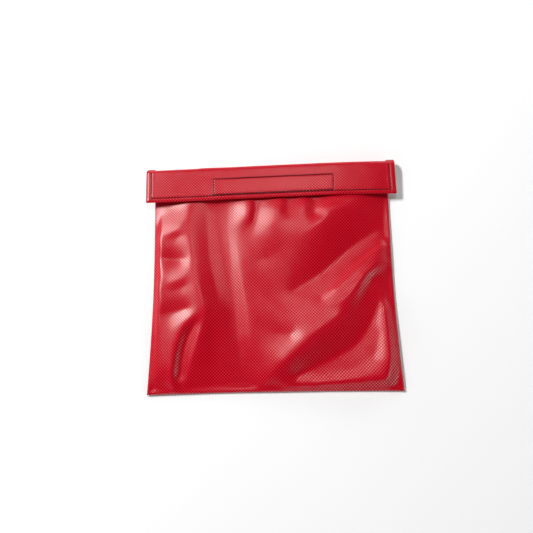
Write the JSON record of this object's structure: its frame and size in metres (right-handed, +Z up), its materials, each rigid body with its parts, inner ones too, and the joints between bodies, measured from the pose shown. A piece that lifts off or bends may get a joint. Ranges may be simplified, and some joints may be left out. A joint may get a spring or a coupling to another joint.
{
  "type": "flat storage pouch with hook-and-loop flap",
  "caption": "Flat pouch of red coated vinyl cloth, sewn on three sides, with a fold-over flap held shut by hook-and-loop tape.",
  "frame": {"origin": "under the middle of the pouch's box, on the surface it lies on", "axes": "+X across the pouch, +Y from the bottom seam to the flap's fold, +Z up through the cloth, from the back panel to the flap"},
  "size_m": [0.261, 0.235, 0.0145],
  "materials": {
    "coated_cloth": "satin",
    "hook_and_loop_tape": "matte",
    "black_thread": "matte",
    "red_thread": "matte"
  },
  "bodies": {
    "pouch": {"back_panel": "coated_cloth", "front_panel": "coated_cloth", "left_seam_allowance": "coated_cloth", "right_seam_allowance": "coated_cloth", "bottom_seam_allowance": "coated_cloth", "mouth_hem": "coated_cloth", "body_seam_needle_thread": "red_thread", "body_seam_bobbin_thread": "red_thread", "mouth_hem_needle_thread": "black_thread", "mouth_hem_bobbin_thread": "black_thread", "loop_tape": "hook_and_loop_tape", "loop_tape_needle_thread": "black_thread", "loop_tape_bobbin_thread": "black_thread"},
    "fold": {"flap_fold": "coated_cloth"},
    "flap": {"flap_panel": "coated_cloth", "flap_left_hem": "coated_cloth", "flap_right_hem": "coated_cloth", "flap_lower_hem": "coated_cloth", "flap_hem_needle_thread": "black_thread", "flap_hem_bobbin_thread": "black_thread", "hook_tape": "hook_and_loop_tape", "hook_tape_needle_thread": "black_thread", "hook_tape_bobbin_thread": "black_thread"}
  },
  "joints": [
    {"name": "fold_lower_bend", "type": "hinge", "parent": "pouch", "child": "fold", "pos_m": [0, 0.1172, 0.0003], "axis": [-1, 0, 0], "range_deg": [0, 90]},
    {"name": "fold_upper_bend", "type": "hinge", "parent": "fold", "child": "flap", "pos_m": [0, 0.1172, 0.0124], "axis": [-1, 0, 0], "range_deg": [0, 90]}
  ],
  "couplings": [
    {"joint": "fold_upper_bend", "follows": "fold_lower_bend", "ratio": 1}
  ]
}
